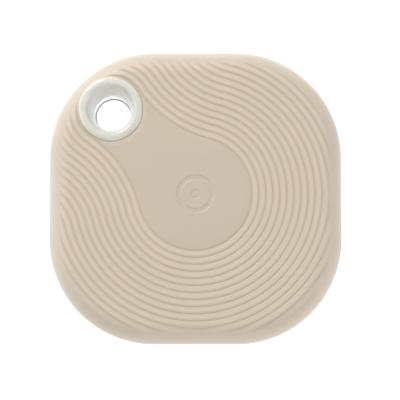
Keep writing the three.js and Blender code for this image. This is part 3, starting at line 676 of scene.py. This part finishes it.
def painted_light_plastic(look):
    """Paints light into the colour: a painted highlight makes the lands lighter than the plateau, and painted
    warm shade makes the valleys darker and warmer.
    """
    tree = look.node_tree
    shader = tree.nodes["Principled BSDF"]
    mottled = shader.inputs["Base Color"].links[0].from_socket
    ripple_painted_light = add_node(tree, "ShaderNodeAttribute", attribute_name="ripple_painted_light")
    ramp = add_node(tree, "ShaderNodeValToRGB")
    steps = ramp.color_ramp.elements
    steps[0].position, steps[0].color = 0, VALLEY_PAINTED_SHADE
    steps[1].position, steps[1].color = 1, LAND_PAINTED_HIGHLIGHT
    smooth = steps.new(UNPAINTED_LEVEL)
    smooth.color = (1, 1, 1, 1)
    mix = add_node(tree, "ShaderNodeMix", data_type="RGBA", blend_type="MULTIPLY")
    mix.inputs["Factor"].default_value = 1
    tree.links.new(ripple_painted_light.outputs["Fac"], ramp.inputs["Fac"])
    tree.links.new(mottled, mix.inputs[6])
    tree.links.new(ramp.outputs["Color"], mix.inputs[7])
    tree.links.new(mix.outputs[2], shader.inputs["Base Color"])
    return look


PAD_LOW, PAD_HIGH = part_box("actuator_pad")
RUBBER_LOW, RUBBER_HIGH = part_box("eyelet_seal")
UNPAINTED_LEVEL = 0.5
FACE_LOW = 9.2 * MM
# Painted light in the cover's colour: painted warm shade in the valleys, and a painted highlight on the
# lands.
VALLEY_PAINTED_SHADE = (1.0, 0.95, 0.885, 1)
LAND_PAINTED_HIGHLIGHT = (1.16, 1.14, 1.15, 1)
RIPPLED_SHELL_PAINTED_LIGHT = painted_light_plastic(moulded_plastic("rippled_shell_painted_light", BEIGE, 0.52, 0.004 * MM))
cover = cover_shell()
# Marks where the painted shade and the painted highlights go on the face.
paint_ripple_light(cover)
finish_piece(cover, "rippled_cover", RIPPLED_SHELL_PAINTED_LIGHT, "shell_beige", "cover", ["front_cover"])

# ---------------------------------------------------------------- eyelet
# A cream glossy bell, pressed from the front into the housing's boss, meets a polished steel
# liner half way down. A second flared ring closes the bore at the back.

CREAM = (0.73, 0.725, 0.655, 1)
STEEL = (0.84, 0.855, 0.87, 1)
SLEEVE_LOW, SLEEVE_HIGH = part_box("eyelet_sleeve")
BORE = 2.5 * MM
REAR_BORE = 2.42 * MM
EYELET_OUTER = SLEEVE_HIGH.x - EYELET_AT.x


def arc(centre, radii, start, end, steps):
    """Points (radius, height) on an elliptic arc of a profile."""
    turns = [math.radians(start + (end - start) * step / steps) for step in range(steps + 1)]
    return [(centre[0] + radii[0] * math.cos(t), centre[1] + radii[1] * math.sin(t)) for t in turns]


def turned_piece(profile, centre, *words):
    bm = bmesh.new()
    revolve(bm, profile, centre)
    return finish_piece(bm, *words)


def flared_profile(bore, edge, foot, crest, seat, seat_edge, flank):
    """A bell: funnel from the bore to the crest, a rounded flank, and back under the seat."""
    up = 1 if crest > foot else -1
    width, height = flank
    top = edge - width
    return (
        arc((top, foot), (-(top - bore), crest - foot), 0, 90, 20)
        + arc((top, crest - up * height), (width, up * height), 90, 0, 10)[1:]
        + [(edge, seat), (seat_edge, seat), (seat_edge, foot)]
    )


def gloss_plastic(name, colour):
    look, tree, shader = new_material(name, colour, 0.16)
    shader.inputs["Coat Weight"].default_value = 0.35
    shader.inputs["Coat Roughness"].default_value = 0.06
    mottle(tree, shader, colour, 300, 0.01)
    grain(tree, shader, 1200, 0.0008 * MM)
    return look


def polished_steel(name, colour, roughness):
    look, tree, shader = new_material(name, colour, roughness, 1.0)
    mottle(tree, shader, colour, 900, 0.03)
    grain(tree, shader, 5000, 0.0006 * MM)
    return look


CREAM_GLOSS = gloss_plastic("cream_gloss", CREAM)
LINER_STEEL = polished_steel("liner_steel", STEEL, 0.14)

bell = flared_profile(BORE, BELL_HIGH.x - EYELET_AT.x, BELL_LOW.z, BELL_HIGH.z,
                      COVER_HIGH.z - SEAT_DEPTH + FIT_GAP, EYELET_OUTER, (0.78 * MM, 0.42 * MM))
turned_piece(bell, EYELET_AT, "eyelet_bell", CREAM_GLOSS, "bezel_cream", "housing", ["eyelet_bezel"])

liner = [
    (BORE, SLEEVE_LOW.z + 0.08 * MM), (BORE + 0.08 * MM, SLEEVE_LOW.z), (EYELET_OUTER, SLEEVE_LOW.z),
    (EYELET_OUTER, SLEEVE_HIGH.z), (BORE + 0.12 * MM, SLEEVE_HIGH.z), (BORE, SLEEVE_HIGH.z - 0.12 * MM),
]
turned_piece(liner, EYELET_AT, "eyelet_liner", LINER_STEEL, "sleeve_steel", "housing", ["eyelet_sleeve"])

flare = flared_profile(REAR_BORE, FLARE_HIGH.x - EYELET_AT.x, FLARE_HIGH.z - 0.3 * MM, FLARE_LOW.z,
                       0.72 * MM, EYELET_OUTER, (0.6 * MM, 0.3 * MM))
flare += [(EYELET_OUTER, FLARE_HIGH.z), (REAR_BORE, FLARE_HIGH.z)]
turned_piece(flare, EYELET_AT, "eyelet_back_flare", CREAM_GLOSS, "bezel_cream", "housing",
             ["eyelet_rear_ring"])

# ---------------------------------------------------------------- seals, gasket and key pad
# Black silicone O-rings seal the door and the eyelet's collar. A beige gasket lies between the
# two shells, and a black rubber pad under the cover passes a press on to the switch.


def rubber(name, colour):
    look, tree, shader = new_material(name, colour, 0.62)
    shader.inputs["Sheen Weight"].default_value = 0.08
    mottle(tree, shader, colour, 700, 0.08)
    grain(tree, shader, 14000, 0.003 * MM)
    return look


def dress(look, *nodes):
    """Gives CAD nodes that keep their own shape a material."""
    for node in nodes:
        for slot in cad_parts[node].material_slots:
            slot.material = look


def half_width(low, high):
    return (high.x - low.x) / 2


def o_ring(node, name, body):
    low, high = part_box(node)
    section = (high.z - low.z) / 2
    middle_radius = half_width(low, high) - section
    profile = arc((middle_radius, (low.z + high.z) / 2), (section, section), 0, 360, 20)[:-1]
    turned_piece(profile, (low + high) / 2, name, BLACK_RUBBER, "seal_black", body, [node])


BLACK_RUBBER = rubber("black_rubber", (0.018, 0.018, 0.02, 1))
BEIGE_RUBBER = rubber("beige_rubber", (0.52, 0.44, 0.34, 1))
o_ring("door_seal", "door_o_ring", "door")
o_ring("eyelet_seal", "collar_o_ring", "cover")
dress(BEIGE_RUBBER, "cover_gasket")

pad_radius, pad_edge = PAD_HIGH.x, 0.12 * MM
pad = [(0, PAD_LOW.z)] + arc((pad_radius - pad_edge, PAD_LOW.z + pad_edge), (pad_edge, pad_edge), -90, 0, 4)
pad += [(pad_radius, PAD_HIGH.z), (0, PAD_HIGH.z)]
turned_piece(pad, Vector((0, 0)), "key_pad", BLACK_RUBBER, "seal_black", "cover", ["actuator_pad"])

# ---------------------------------------------------------------- coin cell
# A 2032 lithium cell: a pressed steel can crimped over a nylon ring that holds the cap. It
# lies on a foam pad inside the door.

CAN_LOW, CAN_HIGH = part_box("cell_can")
CAP_LOW, CAP_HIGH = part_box("cell_cap")
NYLON_LOW, NYLON_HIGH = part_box("cell_seal")
FOAM_LOW, FOAM_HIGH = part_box("cell_pad")
CAN_WALL = 0.28 * MM
CAN_CORNER = 0.3 * MM
CRIMP_ROLL = 0.48 * MM


def brushed_steel(name, colour, roughness):
    """Pressed sheet: long scratches across, over the mottle of the tin or nickel on it."""
    look, tree, shader = new_material(name, colour, roughness, 1.0)
    mottle(tree, shader, colour, 500, 0.05)
    place = add_node(tree, "ShaderNodeTexCoord")
    stretch = add_node(tree, "ShaderNodeMapping")
    stretch.inputs["Scale"].default_value = (900, 14000, 3000)
    scratches = add_node(tree, "ShaderNodeTexNoise", Scale=1.0, Detail=4.0)
    bump = add_node(tree, "ShaderNodeBump", Strength=0.6, Distance=0.0015 * MM)
    tree.links.new(place.outputs["Object"], stretch.inputs["Vector"])
    tree.links.new(stretch.outputs["Vector"], scratches.inputs["Vector"])
    tree.links.new(scratches.outputs["Fac"], bump.inputs["Height"])
    tree.links.new(bump.outputs["Normal"], shader.inputs["Normal"])
    return look


def dull_plastic(name, colour, roughness):
    look, tree, shader = new_material(name, colour, roughness)
    mottle(tree, shader, colour, 900, 0.05)
    grain(tree, shader, 12000, 0.0025 * MM)
    return look


CELL_STEEL = brushed_steel("rolled_steel", (0.70, 0.70, 0.69, 1), 0.28)
NYLON = dull_plastic("white_nylon", (0.74, 0.73, 0.69, 1), 0.45)
BLACK_EPOXY = dull_plastic("black_epoxy", (0.022, 0.022, 0.024, 1), 0.5)
FOAM = rubber("grey_foam", (0.10, 0.10, 0.11, 1))

can_radius = half_width(CAN_LOW, CAN_HIGH)
seal_hole = half_width(NYLON_LOW, NYLON_HIGH) + FIT_GAP
roll_inside = CRIMP_ROLL - CAN_WALL
can = (
    [(0, CAN_LOW.z)]
    + arc((can_radius - CAN_CORNER, CAN_LOW.z + CAN_CORNER), (CAN_CORNER, CAN_CORNER), -90, 0, 6)
    + arc((can_radius - CRIMP_ROLL, CAN_HIGH.z - CRIMP_ROLL), (CRIMP_ROLL, CRIMP_ROLL), 0, 90, 8)
    + [(seal_hole, CAN_HIGH.z), (seal_hole, CAN_HIGH.z - CAN_WALL)]
    + arc((can_radius - CRIMP_ROLL, CAN_HIGH.z - CRIMP_ROLL), (roll_inside, roll_inside), 90, 0, 4)
    + [(can_radius - CAN_WALL, CAN_LOW.z + CAN_WALL), (0, CAN_LOW.z + CAN_WALL)]
)
turned_piece(can, DOOR_AT, "cell_can_crimped", CELL_STEEL, "cell_steel", "housing", ["cell_can"])

cap_radius, cap_roll = half_width(CAP_LOW, CAP_HIGH), 0.25 * MM
dome = cap_radius - 0.3 * MM
cap = (
    [(0, CAP_HIGH.z)]
    + arc((dome - 0.5 * MM, CAP_HIGH.z - cap_roll), (0.5 * MM, cap_roll), 90, 0, 6)
    + [(cap_radius, CAP_HIGH.z - cap_roll - 0.06 * MM), (cap_radius, CAP_LOW.z), (dome, CAP_LOW.z)]
    + [(dome - 0.12 * MM, CAP_HIGH.z - 0.53 * MM), (dome - 0.55 * MM, CAP_HIGH.z - 0.4 * MM)]
    + [(0, CAP_HIGH.z - 0.4 * MM)]
)
turned_piece(cap, DOOR_AT, "cell_cap_domed", CELL_STEEL, "cell_steel", "housing", ["cell_cap"])
dress(NYLON, "cell_seal")
dress(BLACK_EPOXY, "cell_core")

foam_edge = 0.12 * MM
foam_radius = half_width(FOAM_LOW, FOAM_HIGH)
foam_pad = (
    [(0, FOAM_LOW.z), (foam_radius - foam_edge, FOAM_LOW.z)]
    + arc((foam_radius - foam_edge, FOAM_HIGH.z - foam_edge), (foam_edge, foam_edge), 0, 90, 4)
    + [(0, FOAM_HIGH.z)]
)
foam_pad.insert(2, (foam_radius, FOAM_LOW.z + foam_edge))
turned_piece(foam_pad, DOOR_AT, "cell_foam", FOAM, "pad_foam", "door", ["cell_pad"])

# ---------------------------------------------------------------- cradle and contacts
# A white nylon ring keeps the cell central. Two bent leaves of gold-flashed brass touch its
# side and its cap, and are soldered under the board.

BRASS = brushed_steel("gold_brass", (0.78, 0.58, 0.28, 1), 0.3)
dress(NYLON, "cell_cradle")
dress(BRASS, "positive_contact", "negative_contact")

# ---------------------------------------------------------------- circuit board
# Glass-epoxy board under green solder mask, with its copper tracks showing through. Chips,
# crystals and chip parts are soldered on top, and three cross-head screws hold it to posts.

TRACK_PITCH = 0.9
PAD_RISE = 0.03 * MM
END_CAP = 0.22 * MM
TWO_ENDED = (
    "capacitor_1", "capacitor_2", "capacitor_3", "capacitor_4", "bulk_capacitor",
    "resistor_1", "resistor_2", "supply_inductor", "status_led", "chip_antenna",
)
SCREWS = ("board_screw_1", "board_screw_2", "board_screw_3")
SCREW_HOLE = 0.8 * MM
SHANK_RADIUS = 0.7 * MM
HEAD_HEIGHT = 0.45 * MM
THREAD_DEPTH, THREAD_STEP, THREAD_START = 0.16 * MM, 0.22 * MM, 0.15 * MM
CROSS_LENGTH, CROSS_WIDTH, CROSS_DEPTH = 1.4 * MM, 0.3 * MM, 0.3 * MM


def solder_mask():
    """Green mask, lighter along the tracks that run under it."""
    look, tree, shader = new_material("green_mask", (0.02, 0.13, 0.06, 1), 0.35)
    place = add_node(tree, "ShaderNodeTexCoord")
    turn = add_node(tree, "ShaderNodeMapping")
    turn.inputs["Rotation"].default_value = (0, 0, math.radians(45))
    turn.inputs["Scale"].default_value = (1000, 1000, 1000)
    tracks = add_node(tree, "ShaderNodeTexBrick", Scale=TRACK_PITCH)
    tracks.inputs["Color1"].default_value = (0.016, 0.12, 0.055, 1)
    tracks.inputs["Color2"].default_value = (0.02, 0.135, 0.06, 1)
    tracks.inputs["Mortar"].default_value = (0.05, 0.27, 0.12, 1)
    tracks.inputs["Mortar Size"].default_value = 0.05
    bump = add_node(tree, "ShaderNodeBump", Strength=0.5, Distance=0.02 * MM)
    tree.links.new(place.outputs["Object"], turn.inputs["Vector"])
    tree.links.new(turn.outputs["Vector"], tracks.inputs["Vector"])
    tree.links.new(tracks.outputs["Color"], shader.inputs["Base Color"])
    tree.links.new(tracks.outputs["Fac"], bump.inputs["Height"])
    tree.links.new(bump.outputs["Normal"], shader.inputs["Normal"])
    return look


def chip_piece(node, look, slot, mark=False):
    """A moulded package with softened edges, and a dimple by its first pin."""
    low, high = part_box(node)
    body = slab(bmesh.new(), low, high, 0.06 * MM, 2)
    if mark:
        spot = Vector((low.x + 0.7 * MM, high.y - 0.7 * MM))
        body = combine(body, [rod(spot, 0.25 * MM, high.z - 0.05 * MM, high.z + MM, 24)], "DIFFERENCE")
    finish_piece(body, node + "_body", look, slot, "housing", [node])


def end_caps(bm, node):
    """Two soldered metal ends round a chip part, which lies along its longer side."""
    low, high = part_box(node)
    out = Vector((PAD_RISE, PAD_RISE, 0))
    low, high = low - out, high + out
    high.z += PAD_RISE
    along = 0 if high.x - low.x > high.y - low.y else 1
    for side in (0, 1):
        near, far = low.copy(), high.copy()
        if side:
            near[along] = high[along] - END_CAP
        else:
            far[along] = low[along] + END_CAP
        slab(bm, near, far, 0.03 * MM)


def chip_lands(bm, node, count, reach):
    """Small soldered lands along the four sides of a square chip."""
    low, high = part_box(node)
    middle_spot, half = (low + high) / 2, (high.x - low.x) / 2
    for side in range(4):
        turn = Matrix.Rotation(math.pi / 2 * side, 3, "Z")
        for n in range(count):
            spot = Vector((half, (n - (count - 1) / 2) * half * 1.7 / count, 0))
            place = turn @ spot
            size = Vector((reach, 0.14 * MM, 0)) if side % 2 == 0 else Vector((0.14 * MM, reach, 0))
            foot = Vector((middle_spot.x + place.x, middle_spot.y + place.y, low.z))
            slab(bm, foot - size, foot + size + Vector((0, 0, 0.12 * MM)), 0.02 * MM)


GREEN_MASK = solder_mask()
SOLDER = brushed_steel("solder_tin", (0.72, 0.73, 0.74, 1), 0.34)
CERAMIC = dull_plastic("white_ceramic", (0.78, 0.78, 0.75, 1), 0.4)
TAN_CERAMIC = dull_plastic("tan_ceramic", (0.36, 0.24, 0.14, 1), 0.42)
LENS = dull_plastic("clear_epoxy", (0.82, 0.82, 0.76, 1), 0.2)
LENS.node_tree.nodes["Principled BSDF"].inputs["Transmission Weight"].default_value = 0.5
CAN_LID = brushed_steel("plated_lid", (0.76, 0.74, 0.70, 1), 0.24)

board = case_plate(CASE_HALF - BOARD_HIGH.x, BOARD_LOW.z, BOARD_HIGH.z)
screw_spots = [(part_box(name)[0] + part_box(name)[1]) / 2 for name in SCREWS]
holes = [rod(spot, SCREW_HOLE, BOARD_LOW.z - MM, BOARD_HIGH.z + MM, 32) for spot in screw_spots]
holes.append(rod(EYELET_AT, BOSS_RADIUS + 0.3 * MM, BOARD_LOW.z - MM, BOARD_HIGH.z + MM, 96))
finish_piece(combine(board, holes, "DIFFERENCE"), "circuit_board_masked", GREEN_MASK, "board_green",
             "housing", ["circuit_board"])

chip_piece("radio_chip", BLACK_EPOXY, "chip_black", True)
chip_piece("supply_inductor", BLACK_EPOXY, "chip_black")
chip_piece("resistor_1", BLACK_EPOXY, "chip_black")
chip_piece("resistor_2", BLACK_EPOXY, "chip_black")
chip_piece("radio_crystal", CAN_LID, "cell_steel")
chip_piece("clock_crystal", CAN_LID, "cell_steel")
chip_piece("chip_antenna", CERAMIC, "ceramic_white")
chip_piece("status_led", LENS, "led_clear")
for name in ("capacitor_1", "capacitor_2", "capacitor_3", "capacitor_4", "bulk_capacitor"):
    chip_piece(name, TAN_CERAMIC, "capacitor_tan")

joints = bmesh.new()
for name in TWO_ENDED:
    end_caps(joints, name)
chip_lands(joints, "radio_chip", 8, 0.3 * MM)
finish_piece(joints, "soldered_ends", SOLDER, "cell_steel", "housing")

for name in SCREWS:
    low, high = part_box(name)
    spot, head, seat = (low + high) / 2, half_width(low, high), BOARD_HIGH.z + FIT_GAP
    turns = [
        (SHANK_RADIUS - THREAD_DEPTH * (n % 2), seat - THREAD_START - THREAD_STEP * n) for n in range(12)
    ]
    profile = (
        [(0, high.z)]
        + arc((head * 0.7, high.z - HEAD_HEIGHT), (head * 0.3, HEAD_HEIGHT), 90, 0, 8)
        + [(head, seat), (SHANK_RADIUS, seat)] + turns + [(SHANK_RADIUS * 0.5, low.z), (0, low.z)]
    )
    cross = []
    for x, y in ((CROSS_LENGTH / 2, CROSS_WIDTH / 2), (CROSS_WIDTH / 2, CROSS_LENGTH / 2)):
        bottom = (spot.x - x, spot.y - y, high.z - CROSS_DEPTH)
        cross.append(slab(bmesh.new(), bottom, (spot.x + x, spot.y + y, high.z + MM)))
    screw = combine(revolve(bmesh.new(), profile, spot, 48), cross, "DIFFERENCE")
    finish_piece(screw, name.replace("board", "cross"), CELL_STEEL, "cell_steel", "housing", [name])

# ---------------------------------------------------------------- switch and sounder
# The switch is a black base with a steel dome, held by a steel frame, and a nylon plunger. The
# sounder is a ceramic disc on a brass plate, in a black drum with one port.

dress(BLACK_EPOXY, "switch_base")
dress(CELL_STEEL, "switch_frame")
dress(NYLON, "switch_plunger")
dress(BRASS, "buzzer_plate")
dress(CERAMIC, "buzzer_ceramic")

DOME_LOW, DOME_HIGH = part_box("switch_dome")
DOME_SHEET = 0.08 * MM
dome_radius, dome_rise = half_width(DOME_LOW, DOME_HIGH), DOME_HIGH.z - DOME_LOW.z
dome_waist, shoulder = dome_radius * 0.6, DOME_LOW.z + dome_rise * 0.75
snap = [
    (0, DOME_HIGH.z - DOME_SHEET), (dome_waist, shoulder - DOME_SHEET), (dome_radius, DOME_LOW.z),
    (dome_radius, DOME_LOW.z + DOME_SHEET), (dome_waist, shoulder), (0, DOME_HIGH.z),
]
snap_dome = turned_piece(snap, (DOME_LOW + DOME_HIGH) / 2, "snap_dome", CELL_STEEL, "cell_steel",
                         "housing", ["switch_dome"])
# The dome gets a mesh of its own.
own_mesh(snap_dome)

DRUM_LOW, DRUM_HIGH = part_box("buzzer_case")
drum_at, drum_radius = (DRUM_LOW + DRUM_HIGH) / 2, half_width(DRUM_LOW, DRUM_HIGH)
drum_edge, drum_inner, drum_lid = 0.25 * MM, drum_radius - 0.5 * MM, 0.4 * MM
drum = (
    [(drum_inner, DRUM_LOW.z), (drum_radius, DRUM_LOW.z)]
    + arc((drum_radius - drum_edge, DRUM_HIGH.z - drum_edge), (drum_edge, drum_edge), 0, 90, 6)
    + [(0, DRUM_HIGH.z), (0, DRUM_HIGH.z - drum_lid), (drum_inner, DRUM_HIGH.z - drum_lid)]
)
port_at = drum_at + Vector((drum_radius / 2, 0, 0))
port = rod(port_at, 0.8 * MM, DRUM_HIGH.z - MM, DRUM_HIGH.z + MM, 48)
finish_piece(combine(revolve(bmesh.new(), drum, drum_at), [port], "DIFFERENCE"), "sounder_drum",
             BLACK_EPOXY, "chip_black", "housing", ["buzzer_case"])

# ---------------------------------------------------------------- camera, light and floor
# The tag lies on a white sweep that is lit from inside, in a pale room with four round
# softboxes and one long narrow one. The camera looks down on it, a little from the front.

FLOOR_SIZE = 1.2
FLOOR_GLOW = 0.93
ROOM_LIGHT = 0.44
PANEL_SIZE = 0.26
PANEL_DISTANCE = 0.5


def soft_panel(name, azimuth, elevation, strength, width=PANEL_SIZE, height=PANEL_SIZE):
    """A softbox aimed at the tag, from above +Y at azimuth 0 and above -X at azimuth 90."""
    turn, rise = math.radians(azimuth), math.radians(elevation)
    way = Vector((-math.sin(turn) * math.cos(rise), math.cos(turn) * math.cos(rise), math.sin(rise)))
    lamp = bpy.data.lights.new(name, "AREA")
    lamp.shape = "ELLIPSE"
    lamp.size = width
    lamp.size_y = height
    lamp.energy = strength * (math.pi * PANEL_DISTANCE) ** 2
    holder = bpy.data.objects.new(name, lamp)
    holder.location = middle + way * PANEL_DISTANCE
    holder.rotation_euler = way.to_track_quat("Z", "Y").to_euler()
    bpy.context.scene.collection.objects.link(holder)


middle = Vector((0, 0, 5 * MM))
soft_panel("far_panel", 32, 28, 0.7)
soft_panel("left_panel", 100, 24, 0.16)
soft_panel("right_panel", -105, 20, 0.25)
soft_panel("near_panel", 185, 20, 0.2)
soft_panel("glint_panel", -55, 45, 0.08, 0.55, 0.06)

floor_mesh = bmesh.new()
bmesh.ops.create_grid(floor_mesh, x_segments=1, y_segments=1, size=FLOOR_SIZE)
floor_data = bpy.data.meshes.new("floor")
floor_mesh.to_mesh(floor_data)
floor_mesh.free()
floor = bpy.data.objects.new("floor", floor_data)
bpy.context.scene.collection.objects.link(floor)
floor_look, _, floor_shader = new_material("white_sweep", (0.35, 0.35, 0.35, 1), 0.9)
floor_shader.inputs["Specular IOR Level"].default_value = 0
floor_shader.inputs["Emission Color"].default_value = (1, 1, 1, 1)
floor_shader.inputs["Emission Strength"].default_value = FLOOR_GLOW
floor_data.materials.append(floor_look)

world = bpy.data.worlds.new("studio")
world.use_nodes = True
world.node_tree.nodes["Background"].inputs["Color"].default_value = (1, 1, 1, 1)
world.node_tree.nodes["Background"].inputs["Strength"].default_value = ROOM_LIGHT
bpy.context.scene.world = world
bpy.context.scene.view_settings.view_transform = "Standard"

ELEVATION = math.radians(85.4)
DISTANCE = 0.230
lens = bpy.data.cameras.new("camera")
lens.lens = 150
lens.sensor_width = 36
camera = bpy.data.objects.new("camera", lens)
aim = middle + Vector((0.62 * MM, -0.14 * MM, 0))
camera.location = aim + Vector((0, -math.cos(ELEVATION), math.sin(ELEVATION))) * DISTANCE
camera.rotation_euler = (math.pi / 2 - ELEVATION, 0, 0)
bpy.context.scene.collection.objects.link(camera)
bpy.context.scene.camera = camera
